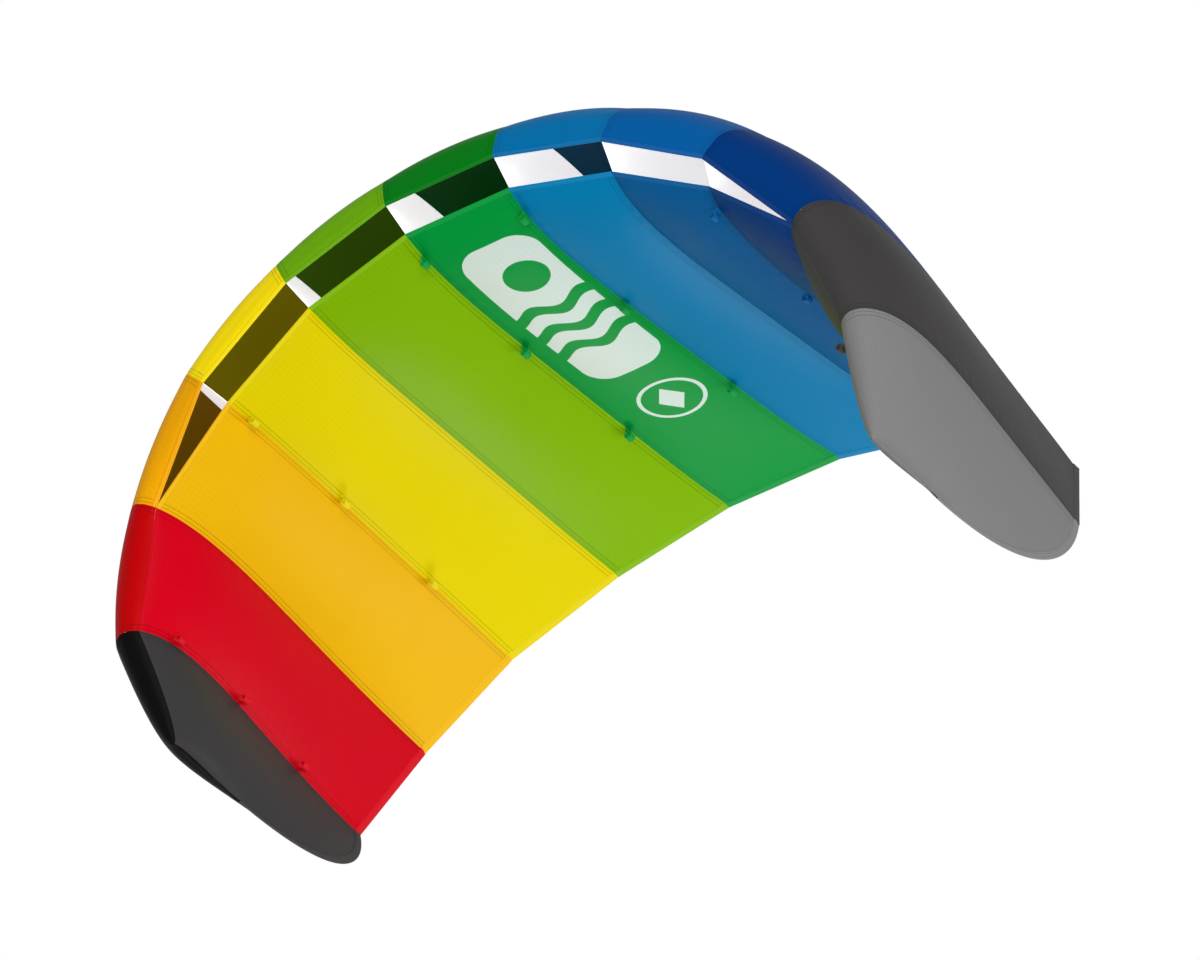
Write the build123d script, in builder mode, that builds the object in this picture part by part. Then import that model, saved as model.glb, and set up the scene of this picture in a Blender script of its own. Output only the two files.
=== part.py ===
"""Arched ram-air foil kite: eleven sewn cells, ten ribs and its bridle loops.

Millimetres. The origin is midway between the two centre bridle loops of the front row,
+X runs along the span, +Y from the leading edge to the trailing edge, +Z is up, and the
arch opens downwards. Every rib stands in the plane that halves the turn of the arch at
its seam. The cells turn about their seams, so the arch can be laid out flat.
"""

import os
from math import atan2, cos, degrees, radians, sin, sqrt

from build123d import *

# ---------------------------------------------------------------- driving sizes
cell_width = 124.0            # seam to seam, measured along the chord lines
tip_width = 104.0             # from the last seam to the front corner of the tip
seam_turns = (16.5, 15.5, 20.0, 22.0, 24.5)      # degrees of arch at each seam, centre outwards
seam_chords = (564.0, 549.0, 513.0, 454.0, 370.0)
seam_sweeps = (0.0, 4.0, 15.5, 39.5, 62.0)       # how far each leading edge stands back
tip_sweep = 52.0              # further sweep along the straight front edge of the tip
tip_round = 212.0             # length of the elliptical rear quarter of the tip

open_seams = 3                # seams on each side, from the centre, that carry an air inlet
lip_drop_share = 0.032        # nose lip below the chord line, as a share of the chord
inlet_back_share = 0.05       # lower lip behind the leading edge, as a share of the chord
nose_front_share = 0.002      # how far the nose bulges ahead of the leading edge
nose_meet_share = 0.0135      # where the closed ribs' lower skin meets the nose

# fullness of each half profile at its front, middle and rear
upper_fullness = (0.30, 0.136, 0.13)
lower_open_fullness = (0.31, 0.095, 0.20)
lower_closed_fullness = (0.28, 0.112, 0.06)

upper_billow = 9.0            # how far the skins balloon between two ribs
lower_billow = 8.0
tip_edge_fullness = 0.1       # share of its root height that the tip keeps at its outer edge

skin_thickness = 0.4
rib_thickness = 0.4
seam_gap = 0.3                # between a rib and the skins of the next cell out
vent_places = (0.34, 0.47, 0.59, 0.70)           # cross-vents, as shares of the chord
vent_rim = 8.0                # cloth left above and below a cross-vent

tail_gap = 0.05               # between the two skins where the hem joins them
nose_seam_gap = 0.5           # between upper and lower skin along a closed nose

hem_length = 6.0
hem_thickness = 1.4
tip_hem_gap = 0.8             # between the curved tail of a tip and its hem
binding_width = 5.0
binding_thickness = 1.0
binding_gap = 0.15            # between the edge of a skin and its binding

tip_side_thickness = 0.6      # of the cloth closing the outer side of a tip

loop_ribs = (1, 3, 5)         # seams whose ribs carry bridle loops
loop_places = (0.10, 0.39, 0.70)                 # rows A, B and C, as shares of the chord
loop_eye_radius = 3.0
loop_tape_thickness = 0.6
loop_tape_width = 8.0
tab_height = 5.0              # rib cloth that the two ends of a loop are sewn to
tab_clearance = 1.2           # between the lower skins and the ends of the tape

hinge_clearance = 0.5         # of the seam's turning axis above the highest cloth

cell_names = (
    "left_tip", "red", "orange", "yellow", "lime", "green",
    "light_blue", "mid_blue", "dark_blue", "charcoal", "right_tip",
)
last_seam = len(seam_turns)


# ---------------------------------------------------------------- profile formulas
def fullness_height(t, fullness):
    """Height over the chord line at share t, for a chord of one.

    The root of t rounds the nose, (1 - t) closes the tail, and a quadratic Bernstein
    blend of three fullness values shapes what lies between.
    """
    front, middle, rear = fullness
    blend = front * (1 - t) ** 2 + 2 * middle * t * (1 - t) + rear * t**2
    return sqrt(t) * (1 - t) * blend


def is_open(seam):
    return abs(seam) <= open_seams


def upper_profile(seam, share):
    """Chordwise and outward place on the upper skin, share 0 at the nose lip to 1."""
    lip = (0.0 if is_open(seam) else nose_meet_share, -lip_drop_share)
    nose = (-nose_front_share, -lip_drop_share / 2)
    if share == 0:
        return lip
    if share == upper_shares[1]:
        return nose
    t = ((share - upper_shares[1]) / (1 - upper_shares[1])) ** 2
    return t, fullness_height(t, upper_fullness)


def lower_profile(seam, share):
    """Chordwise and outward place on the lower skin, share 0 at its front edge to 1."""
    front = inlet_back_share if is_open(seam) else nose_meet_share
    fullness = lower_open_fullness if is_open(seam) else lower_closed_fullness
    t = front + (1 - front) * share**1.5
    return t, -fullness_height(t, fullness)


def billow_shape(share):
    """Zero at both ends of a profile, one in between."""
    return sin(radians(180 * share)) ** 0.75 if 0 < share < 1 else 0.0


upper_shares = (0.0, 0.03, 0.12, 0.22, 0.34, 0.47, 0.6, 0.74, 0.87, 1.0)
lower_shares = (0.0, 0.15, 0.3, 0.45, 0.6, 0.75, 0.88, 1.0)


# ---------------------------------------------------------------- places of the seams
def build_seams():
    """Leading-edge point, tilt and chord of every seam, by its signed number."""
    seams = {}
    slope = 0.0
    x, z = cell_width / 2, 0.0
    for number in range(1, last_seam + 1):
        turn = seam_turns[number - 1]
        tilt = slope + turn / 2
        for side in (-1, 1):
            seams[side * number] = {
                "point": (side * x, seam_sweeps[number - 1], z),
                "tilt": side * tilt,
                "chord": seam_chords[number - 1],
            }
        slope += turn
        x += cell_width * cos(radians(slope))
        z -= cell_width * sin(radians(slope))
    return seams


def cell_slope(cell):
    """Signed slope of a cell: the sum of the turns between it and the centre."""
    side = 1 if cell >= 0 else -1
    return side * sum(seam_turns[: abs(cell)])


def outward(tilt):
    return Vector(sin(radians(tilt)), 0, cos(radians(tilt)))


seams = build_seams()
loop_neck = loop_eye_radius + loop_tape_thickness
centre_chord = seam_chords[0]
front_row_depth = fullness_height(loop_places[0], lower_open_fullness) * centre_chord
eye_drop = tab_height + loop_neck
front_row = Vector(*seams[1]["point"]) - outward(seams[1]["tilt"]) * (front_row_depth + eye_drop)
origin_shift = Vector(0, -loop_places[0] * centre_chord, -front_row.Z)


def seam_plane(seam, offset=0.0):
    """Plane of a rib, local X aft and local Y outward, moved along the span by offset."""
    data = seams[seam]
    tilt = data["tilt"]
    along = Vector(cos(radians(tilt)), 0, -sin(radians(tilt)))
    point = Vector(*data["point"]) + origin_shift + along * offset
    return Plane(origin=point, x_dir=(0, 1, 0), z_dir=along)


def cell_plane(cell, share=0.5):
    """Plane across a cell, square to its slope, at a share of the way to its outer seam."""
    slope = cell_slope(cell)
    along = Vector(cos(radians(slope)), 0, -sin(radians(slope)))
    near, far = cell_seams(cell)
    start = Vector(*seams[near]["point"]) if near else None
    if abs(cell) == last_seam:
        side = 1 if cell > 0 else -1
        point = start + along * (side * tip_width * share) + Vector(0, tip_sweep * share, 0)
    else:
        point = start + (Vector(*seams[far]["point"]) - start) * share
    return Plane(origin=point + origin_shift, x_dir=(0, 1, 0), z_dir=along)


def cell_seams(cell):
    """The seam on the centre's side of a cell, and the one further out."""
    if cell == 0:
        return -1, 1
    side = 1 if cell > 0 else -1
    return cell, cell + side


# ---------------------------------------------------------------- sections of the skins
def scaled_points(seam, profile, shares, chord, height):
    """Profile points in millimetres, spread at the tail by the thickness of the skins."""
    tail = skin_thickness + tail_gap
    if profile is lower_profile:
        tail = -tail
    points = []
    for share in shares:
        t, n = profile(seam, share)
        points.append((t * chord, n * height + tail * max(t, 0.0)))
    return points


def move_towards(start, end, distance):
    run = Vector(end[0] - start[0], end[1] - start[1]).normalized() * distance
    return start[0] + run.X, start[1] + run.Y


def has_inlet(cell):
    return abs(cell) <= open_seams


def seam_points(cell, seam, profile, shares):
    """Profile of a cell's cloth at one of its seams, kept back from its front edge."""
    chord = seams[seam]["chord"]
    points = scaled_points(seam, profile, shares, chord, chord)
    points[0] = move_towards(points[0], points[1], front_retreat(cell, seam, profile))
    return points


def front_retreat(cell, seam, profile):
    """Room for the inlet's binding, and for the nose seam where the inlet is closed."""
    room = binding_width if has_inlet(cell) else 0.0
    if profile is lower_profile and not is_open(seam):
        room += nose_seam_gap
    return room


def middle_points(cell, profile, shares, billow):
    """Mean of the two seams' profiles, seen square to the cell, and ballooned outwards."""
    slope = cell_slope(cell)
    aft = [0.0] * len(shares)
    out = [billow * billow_shape(share) for share in shares]
    for seam in cell_seams(cell):
        lean = cos(radians(seams[seam]["tilt"] - slope))
        for index, (seam_aft, seam_out) in enumerate(seam_points(cell, seam, profile, shares)):
            aft[index] += seam_aft / 2
            out[index] += seam_out * lean / 2
    return list(zip(aft, out))


def strip_section(plane, points, thickness):
    """Thin closed section: the outer cloth line, and its copy moved by the thickness."""
    inner = []
    for index, (aft, out) in enumerate(points):
        before = points[max(index - 1, 0)]
        after = points[min(index + 1, len(points) - 1)]
        run = Vector(after[0] - before[0], after[1] - before[1]).normalized()
        inner.append((aft + run.Y * thickness, out - run.X * thickness))
    with BuildSketch(plane) as section:
        with BuildLine():
            Spline(*points)
            Line(points[-1], inner[-1])
            Spline(*reversed(inner))
            Line(inner[0], points[0])
        make_face()
    return section.sketch


def skin_sections(cell, profile, shares, billow, thickness):
    """Sections at the inner seam, at the middle of the cell and at the outer seam."""
    near, far = cell_seams(cell)
    side = 1 if cell >= 0 else -1
    against_rib = rib_thickness / 2
    across_gap = rib_thickness / 2 + seam_gap
    near_offset = side * (across_gap if cell else against_rib)
    far_offset = -side * against_rib
    near_points = seam_points(cell, near, profile, shares)
    far_points = seam_points(cell, far, profile, shares)
    return [
        strip_section(seam_plane(near, near_offset), near_points, thickness),
        strip_section(cell_plane(cell), middle_points(cell, profile, shares, billow), thickness),
        strip_section(seam_plane(far, far_offset), far_points, thickness),
    ]


def tip_rear(share):
    """Trailing edge of the tip cell at a share of its width: a quarter of an ellipse."""
    return seam_chords[-1] - tip_round * (1 - sqrt(1 - share**2))


def tip_points(share, profile, shares):
    """Profile of the last rib, shortened to the tip's outline and flattened to its edge."""
    chord = tip_rear(share) - tip_sweep * share
    height = seam_chords[-1] * sqrt(1 - (1 - tip_edge_fullness**2) * share**2)
    points = scaled_points(last_seam, profile, shares, chord, height)
    points[0] = move_towards(points[0], points[1], front_retreat(last_seam, last_seam, profile))
    return points


tip_stations = (0.3, 0.55, 0.75, 0.9, 0.97, 1.0)


def tip_sections(cell, profile, shares, thickness):
    side = 1 if cell > 0 else -1
    across_gap = rib_thickness / 2 + seam_gap
    root = seam_plane(cell, side * across_gap)
    sections = [strip_section(root, tip_points(0.0, profile, shares), thickness)]
    for share in tip_stations:
        points = tip_points(share, profile, shares)
        sections.append(strip_section(cell_plane(cell, share), points, thickness))
    return sections


# ---------------------------------------------------------------- pieces
def save(piece, name):
    piece.part.label = name
    export_step(piece.part, f"parts/{name}.step")


def build_skins(cell, name):
    for word, profile, shares, billow, thickness in (
        ("upper", upper_profile, upper_shares, upper_billow, skin_thickness),
        ("lower", lower_profile, lower_shares, -lower_billow, -skin_thickness),
    ):
        if abs(cell) == last_seam:
            sections = tip_sections(cell, profile, shares, thickness)
        else:
            sections = skin_sections(cell, profile, shares, billow, thickness)
        with BuildPart() as skin:
            loft(sections=sections)
        save(skin, f"{name}_{word}_skin")


def build_rib(seam, name):
    """Flat cloth plate to the outside of both skins, with cross-vents and loop tabs."""
    chord = seams[seam]["chord"]
    upper = scaled_points(seam, upper_profile, upper_shares, chord, chord)
    lower = scaled_points(seam, lower_profile, lower_shares, chord, chord)
    fullness = lower_open_fullness if is_open(seam) else lower_closed_fullness
    with BuildPart() as rib:
        with BuildSketch(seam_plane(seam)):
            with BuildLine():
                Spline(*upper)
                Spline(*lower)
                Line(upper[0], lower[0])
                Line(upper[-1], lower[-1])
            make_face()
            if abs(seam) in loop_ribs:
                for place in loop_places:
                    depth = fullness_height(place, fullness) * chord
                    with Locations((place * chord, tab_height / 2 - depth)):
                        Rectangle(loop_tape_width, tab_height * 3)
        extrude(amount=rib_thickness / 2, both=True)
        for place in vent_places:
            top = fullness_height(place, upper_fullness) * chord
            bottom = -fullness_height(place, fullness) * chord
            radius = (top - bottom) / 2 - vent_rim
            with Locations(seam_plane(seam) * Location((place * chord, (top + bottom) / 2, 0))):
                Hole(radius=radius, depth=rib_thickness * 2)
    save(rib, name)


def bar_section(plane, front, rear, thickness):
    """Rectangle in a section plane, from its front point to its rear point."""
    run = Vector(rear[0] - front[0], rear[1] - front[1])
    angle = degrees(atan2(run.Y, run.X))
    middle = ((front[0] + rear[0]) / 2, (front[1] + rear[1]) / 2)
    with BuildSketch(plane) as section:
        with Locations(middle):
            Rectangle(run.length, thickness, rotation=angle)
    return section.sketch


def cell_edge_planes(cell):
    """The planes where a cell's cloth ends at its two seams."""
    near, far = cell_seams(cell)
    side = 1 if cell >= 0 else -1
    near_offset = side * (rib_thickness / 2 + (seam_gap if cell else 0.0))
    return (near, seam_plane(near, near_offset)), (far, seam_plane(far, -side * rib_thickness / 2))


def build_hem(cell, name):
    """Binding tape behind the trailing edge, from seam to seam.

    On a tip it stops short of the outer corner, where the side seam takes over.
    """
    sections = []
    if abs(cell) == last_seam:
        side = 1 if cell > 0 else -1
        root = seam_plane(cell, side * (rib_thickness / 2 + seam_gap))
        stations = [(root, seam_chords[-1] + tip_hem_gap)]
        for share in tip_stations[:-1]:
            tail = tip_rear(share) - tip_sweep * share + tip_hem_gap
            stations.append((cell_plane(cell, share), tail))
    else:
        stations = [(plane, seams[seam]["chord"]) for seam, plane in cell_edge_planes(cell)]
    for plane, tail in stations:
        sections.append(bar_section(plane, (tail, 0), (tail + hem_length, 0), hem_thickness))
    with BuildPart() as hem:
        loft(sections=sections, ruled=abs(cell) != last_seam)
    save(hem, f"{name}_trailing_hem")


def build_inlet_binding(cell, name):
    """Two tapes along an air inlet: one on the nose lip, one on the lower lip."""
    with BuildPart() as binding:
        for profile, shares in ((upper_profile, upper_shares), (lower_profile, lower_shares)):
            sections = []
            for seam, plane in cell_edge_planes(cell):
                cloth_end, beyond = seam_points(cell, seam, profile, shares)[:2]
                joined_edge = move_towards(cloth_end, beyond, -binding_gap)
                free_edge = move_towards(cloth_end, beyond, -binding_width)
                sections.append(bar_section(plane, joined_edge, free_edge, binding_thickness))
            loft(sections=sections, ruled=True)
    save(binding, f"{name}_inlet_binding")


def build_tip_side(cell, name):
    """Narrow cloth closing the outer side of a tip cell, between its two skins."""
    side = 1 if cell > 0 else -1
    upper = tip_points(1.0, upper_profile, upper_shares)
    lower = tip_points(1.0, lower_profile, lower_shares)
    with BuildPart() as tip_side:
        with BuildSketch(cell_plane(cell, 1.0)):
            with BuildLine():
                Spline(*upper)
                Spline(*lower)
                Line(upper[0], lower[0])
                Line(upper[-1], lower[-1])
            make_face()
        extrude(amount=side * tip_side_thickness)
    save(tip_side, f"{name}_side_seam")


def build_bridle_loops(seam, name):
    """Folded tapes, one for each bridle row, each sewn round a tab of the rib."""
    fullness = lower_open_fullness if is_open(seam) else lower_closed_fullness
    chord = seams[seam]["chord"]
    rib_plane = seam_plane(seam)
    leg_height = tab_height - tab_clearance
    tape_stack = rib_thickness + 2 * loop_tape_thickness
    with BuildPart() as loops:
        for place in loop_places:
            depth = fullness_height(place, fullness) * chord
            eye = rib_plane.from_local_coords((place * chord, -depth - eye_drop, 0))
            with BuildSketch(Plane(origin=eye, x_dir=rib_plane.z_dir, z_dir=(0, 1, 0))):
                Circle(loop_neck)
                with Locations((0, -(loop_neck + leg_height) / 2)):
                    Rectangle(tape_stack, loop_neck + leg_height)
                Circle(loop_eye_radius, mode=Mode.SUBTRACT)
                with Locations((0, -loop_neck - leg_height / 2)):
                    Rectangle(rib_thickness, leg_height, mode=Mode.SUBTRACT)
            extrude(amount=loop_tape_width / 2, both=True)
    save(loops, name)


def hinge_point(seam):
    """Middle of the line a cell turns about: just over the cloth along its inner seam."""
    chord = seams[seam]["chord"]
    fullest = max(fullness_height(step / 100, upper_fullness) for step in range(101))
    height = fullest * chord + skin_thickness + tail_gap + hinge_clearance
    return seam_plane(seam).from_local_coords((chord / 2, height, 0))


os.makedirs("parts", exist_ok=True)
for index, cell_name in enumerate(cell_names):
    cell = index - last_seam
    build_skins(cell, cell_name)
    build_hem(cell, cell_name)
    if has_inlet(cell):
        build_inlet_binding(cell, cell_name)
    if abs(cell) == last_seam:
        build_tip_side(cell, cell_name)
for side, word in ((-1, "left"), (1, "right")):
    for number in range(1, last_seam + 1):
        build_rib(side * number, f"rib_{word}_{number}")
        if number in loop_ribs:
            build_bridle_loops(side * number, f"bridle_loops_{word}_{number}")
        turn, hinge = seam_turns[number - 1], hinge_point(side * number)
        print(f"seam {word} {number} turns {turn} degrees about Y at {hinge.X:.2f}, {hinge.Z:.2f}")
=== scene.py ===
import math

import bmesh
import bpy
import numpy as np
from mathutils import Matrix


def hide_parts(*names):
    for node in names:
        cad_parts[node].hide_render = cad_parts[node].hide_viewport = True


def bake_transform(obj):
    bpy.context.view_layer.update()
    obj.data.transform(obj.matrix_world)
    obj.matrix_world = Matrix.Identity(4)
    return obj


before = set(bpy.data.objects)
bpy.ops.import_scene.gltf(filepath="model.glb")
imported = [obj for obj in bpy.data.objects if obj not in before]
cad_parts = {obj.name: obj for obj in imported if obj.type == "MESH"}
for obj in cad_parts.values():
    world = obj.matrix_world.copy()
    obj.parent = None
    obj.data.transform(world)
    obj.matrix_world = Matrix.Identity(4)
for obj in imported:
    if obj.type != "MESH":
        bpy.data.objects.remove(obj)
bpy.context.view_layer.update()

# ---------------------------------------------------------------------------
# Camera. A long lens well in front of, to the right of and below the kite, so
# that it looks up at the underside of the left half of the arch.
# ---------------------------------------------------------------------------
camera_target = np.array([0.0176, 0.1706, -0.1753])
camera_distance = 15.19
camera_azimuth = math.radians(33.06)
camera_elevation = math.radians(-38.55)
camera_roll = math.radians(-1.69)
camera_lens, camera_sensor, camera_reach = 500, 36, 600


def direction(azimuth, elevation):
    """Unit vector from the kite: azimuth 0 is forwards (-Y), 90 is to the right (+X)."""
    level = math.cos(elevation)
    return np.array([math.sin(azimuth) * level, -math.cos(azimuth) * level, math.sin(elevation)])


camera_data = bpy.data.cameras.new("camera")
camera_data.lens = camera_lens
camera_data.sensor_width = camera_sensor
camera_data.clip_end = camera_reach
camera = bpy.data.objects.new("camera", camera_data)
scene = bpy.context.scene
scene.collection.objects.link(camera)
scene.camera = camera
camera.location = camera_target + camera_distance * direction(camera_azimuth, camera_elevation)
camera.rotation_euler = (math.pi / 2 - camera_elevation, 0, camera_azimuth)
camera.rotation_euler.rotate_axis("Z", camera_roll)

# ---------------------------------------------------------------------------
# Studio. A white surround, soft lamps in front of, beside, behind and below the
# kite, and a pale floor far below, out of the way of a camera that looks up.
# ---------------------------------------------------------------------------
surround_light = 0.45
floor_depth, floor_reach = 30.0, 250.0
floor_shade, floor_glow = 0.85, 0.55
lamps = {
    # name: azimuth and elevation as seen from the kite, distance, side length, power
    "front_low": (48, -50, 3.2, 2.0, 32.0),
    "inner_key": (115, -28, 3.2, 2.0, 25.0),
    "rear_band": (-152, -30, 3.2, 0.9, 38.0),
    "low_left": (150, -12, 3.4, 1.0, 32.0),
    "nose_light": (28, -8, 3.2, 2.0, 52.0),
}

scene.view_settings.view_transform = "Standard"
world = bpy.data.worlds.new("surround")
scene.world = world
world.use_nodes = True
nodes, links = world.node_tree.nodes, world.node_tree.links
lit = nodes["Background"]
lit.inputs["Strength"].default_value = surround_light
lit.inputs["Color"].default_value = (1, 1, 1, 1)
seen = nodes.new("ShaderNodeBackground")
seen.inputs["Color"].default_value = (1, 1, 1, 1)
choose = nodes.new("ShaderNodeMixShader")
rays = nodes.new("ShaderNodeLightPath")
links.new(rays.outputs["Is Camera Ray"], choose.inputs["Fac"])
links.new(lit.outputs["Background"], choose.inputs[1])
links.new(seen.outputs["Background"], choose.inputs[2])
links.new(choose.outputs["Shader"], nodes["World Output"].inputs["Surface"])

for lamp_name, (azimuth, elevation, distance, side_length, power) in lamps.items():
    lamp_data = bpy.data.lights.new(lamp_name, "AREA")
    lamp_data.size = side_length
    lamp_data.energy = power
    lamp = bpy.data.objects.new(lamp_name, lamp_data)
    scene.collection.objects.link(lamp)
    a, e = math.radians(azimuth), math.radians(elevation)
    lamp.location = camera_target + distance * direction(a, e)
    lamp.rotation_euler = (math.pi / 2 - e, 0, a)

floor_mesh = bpy.data.meshes.new("floor")
floor_corners = [(-1, -1), (1, -1), (1, 1), (-1, 1)]
floor_mesh.from_pydata(
    [(x * floor_reach, y * floor_reach, -floor_depth) for x, y in floor_corners], [], [(0, 1, 2, 3)]
)
floor = bpy.data.objects.new("floor", floor_mesh)
scene.collection.objects.link(floor)
floor.visible_diffuse = floor.visible_glossy = False
floor_material = bpy.data.materials.new("pale_floor")
floor_material.use_nodes = True
floor_shader = floor_material.node_tree.nodes["Principled BSDF"]
floor_shader.inputs["Base Color"].default_value = (floor_shade, floor_shade, floor_shade, 1)
floor_shader.inputs["Emission Color"].default_value = (1, 1, 1, 1)
floor_shader.inputs["Emission Strength"].default_value = floor_glow
floor_mesh.materials.append(floor_material)

# ---------------------------------------------------------------------------
# Ribs. Ten plates of white ripstop, cut to the wing section and sewn between
# the cells, stand on the seams of the arch. They are laid out first, because
# every panel hangs on them, and round vents let air pass from cell to cell.
# ---------------------------------------------------------------------------
cell_width = 0.124
seam_turns = (16.5, 15.5, 20.0, 22.0, 24.5)
seam_chords = (0.564, 0.549, 0.513, 0.454, 0.370)
seam_sweeps = (0.0, 0.004, 0.0155, 0.0395, 0.062)
open_seams, last_seam = 3, 5
lip_drop_share, inlet_back_share = 0.032, 0.05
nose_front_share, nose_meet_share = 0.002, 0.0135
upper_fullness = (0.30, 0.136, 0.13)
lower_open_fullness = (0.31, 0.095, 0.20)
lower_closed_fullness = (0.28, 0.112, 0.06)
front_row_share, loop_eye_drop = 0.10, 0.0086
vent_places, vent_rim = (0.34, 0.47, 0.59, 0.70), 0.008
rib_inset_aft, rib_inset_height = 0.006, 0.0012
white_cloth = (243, 241, 242)
cell_names = (
    "left_tip", "red", "orange", "yellow", "lime", "green",
    "light_blue", "mid_blue", "dark_blue", "charcoal", "right_tip",
)


def fullness_height(t, fullness):
    """Height over the chord: root of t, times (1 - t), times a quadratic blend of fullness."""
    front, middle, rear = fullness
    blend = front * (1 - t) ** 2 + 2 * middle * t * (1 - t) + rear * t**2
    return np.sqrt(t) * (1 - t) * blend


def outward(tilt):
    return np.array([math.sin(math.radians(tilt)), 0.0, math.cos(math.radians(tilt))])


def spanwise(tilt):
    return np.array([math.cos(math.radians(tilt)), 0.0, -math.sin(math.radians(tilt))])


def is_open(seam):
    return abs(seam) <= open_seams


def cell_slope(cell):
    return math.copysign(sum(seam_turns[: abs(cell)]), cell)


def cell_seams(cell):
    """The seam on the centre's side of a cell and the one further out."""
    return (-1, 1) if cell == 0 else (cell, cell + (1 if cell > 0 else -1))


seam_point, seam_tilt, seam_chord = {}, {}, {}
slope, x, z = 0.0, cell_width / 2, 0.0
for number in range(1, last_seam + 1):
    turn = seam_turns[number - 1]
    for side in (-1, 1):
        seam_point[side * number] = np.array([side * x, seam_sweeps[number - 1], z])
        seam_tilt[side * number] = side * (slope + turn / 2)
        seam_chord[side * number] = seam_chords[number - 1]
    slope += turn
    x += cell_width * math.cos(math.radians(slope))
    z -= cell_width * math.sin(math.radians(slope))

# the frame's origin lies between the two front bridle eyes of the centre cell
row_depth = fullness_height(front_row_share, lower_open_fullness) * seam_chords[0]
row_height = (seam_point[1] - outward(seam_tilt[1]) * (row_depth + loop_eye_drop))[2]
for seam in seam_point:
    seam_point[seam] = seam_point[seam] + np.array([0.0, -front_row_share * seam_chords[0], -row_height])


def seam_blend(piece, seam):
    """Bakes the piece's placement into its mesh; the seam's middle and points half a cell to either side
    are worked out, but nothing uses them.
    """
    side = int(math.copysign(1, seam))
    middle = seam_point[seam]
    start = middle - side * cell_width / 2 * spanwise(cell_slope(seam - side))
    end = middle + side * cell_width / 2 * spanwise(cell_slope(seam))
    start[1] = end[1] = middle[1]
    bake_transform(piece)


def add_piece(name, mesh, materials):
    piece = bpy.data.objects.new(name, mesh)
    scene.collection.objects.link(piece)
    for material in materials:
        mesh.materials.append(material)
    return piece


def socket(group, name, in_out, value=None):
    new = group.interface.new_socket(name=name, in_out=in_out, socket_type="NodeSocketFloat")
    if value is not None:
        new.default_value = value
    return new


def math_node(tree, operation, a, b=None):
    """A math node whose inputs are sockets or plain numbers; returns its output."""
    node = tree.nodes.new("ShaderNodeMath")
    node.operation = operation
    for place, value in enumerate((a, b)):
        if isinstance(value, bpy.types.NodeSocket):
            tree.links.new(value, node.inputs[place])
        elif value is not None:
            node.inputs[place].default_value = value
    return node.outputs[0]


def uv_axes(tree, layer):
    """The two coordinates of a UV map in metres, as sockets, and the map itself."""
    uv = tree.nodes.new("ShaderNodeUVMap")
    uv.uv_map = layer
    parts = tree.nodes.new("ShaderNodeSeparateXYZ")
    tree.links.new(uv.outputs["UV"], parts.inputs[0])
    return parts.outputs["X"], parts.outputs["Y"], uv.outputs["UV"]


def noise(tree, vector, scale, detail=2.0, distortion=0.0):
    node = tree.nodes.new("ShaderNodeTexNoise")
    node.inputs["Scale"].default_value = scale
    node.inputs["Detail"].default_value = detail
    node.inputs["Distortion"].default_value = distortion
    tree.links.new(vector, node.inputs["Vector"])
    return node.outputs["Fac"]


def band(tree, value, centre, half_width):
    """One where the value is within half a width of the centre, nought elsewhere."""
    away = math_node(tree, "ABSOLUTE", math_node(tree, "SUBTRACT", value, centre))
    return math_node(tree, "LESS_THAN", away, half_width)


heavy_thread_share, yarn_pitch = 0.045, 0.0006
crease_scale, cloud_scale = 38, 9
thread_half_width, stitch_gap_share = 0.00035, 0.12
cloth_ior, cloth_relief, cloth_relief_strength = 1.10, 0.0002, 0.5


def make_ripstop_group():
    """Ripstop weave on the UV map "cloth", in metres.

    A heavier thread runs every few millimetres both ways. Shade darkens the colour a
    little on those threads and in soft clouds; Height holds threads, weave and creases.
    """
    group = bpy.data.node_groups.new("ripstop_weave", "ShaderNodeTree")
    for name in ("Shade", "Height", "Gloss"):
        socket(group, name, "OUTPUT")
    socket(group, "Square", "INPUT", 0.005)
    socket(group, "Creases", "INPUT", 1.0)
    inputs, outputs = group.nodes.new("NodeGroupInput"), group.nodes.new("NodeGroupOutput")
    u, v, uv = uv_axes(group, "cloth")
    heavy, fine = [], []
    for axis in (u, v):
        saw = math_node(group, "PINGPONG", math_node(group, "DIVIDE", axis, inputs.outputs["Square"]), 0.5)
        heavy.append(math_node(group, "LESS_THAN", saw, heavy_thread_share))
        turns = math_node(group, "MULTIPLY", axis, 2 * math.pi / yarn_pitch)
        fine.append(math_node(group, "SINE", turns))
    grid = math_node(group, "MAXIMUM", heavy[0], heavy[1])
    weave = math_node(group, "MULTIPLY", fine[0], fine[1])
    crease = math_node(group, "MULTIPLY", noise(group, uv, crease_scale, 4, 0.6), inputs.outputs["Creases"])
    clouds = noise(group, uv, cloud_scale)
    shade = math_node(group, "ADD", math_node(group, "MULTIPLY", grid, -0.07), 0.97)
    shade = math_node(group, "ADD", shade, math_node(group, "MULTIPLY", clouds, 0.06))
    height = math_node(group, "ADD", math_node(group, "MULTIPLY", grid, 0.5),
                       math_node(group, "MULTIPLY", weave, 0.12))
    height = math_node(group, "ADD", height, math_node(group, "MULTIPLY", crease, 3.0))
    gloss = math_node(group, "ADD", math_node(group, "MULTIPLY", clouds, 0.10), 0.30)
    group.links.new(shade, outputs.inputs["Shade"])
    group.links.new(height, outputs.inputs["Height"])
    group.links.new(gloss, outputs.inputs["Gloss"])
    return group


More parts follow.
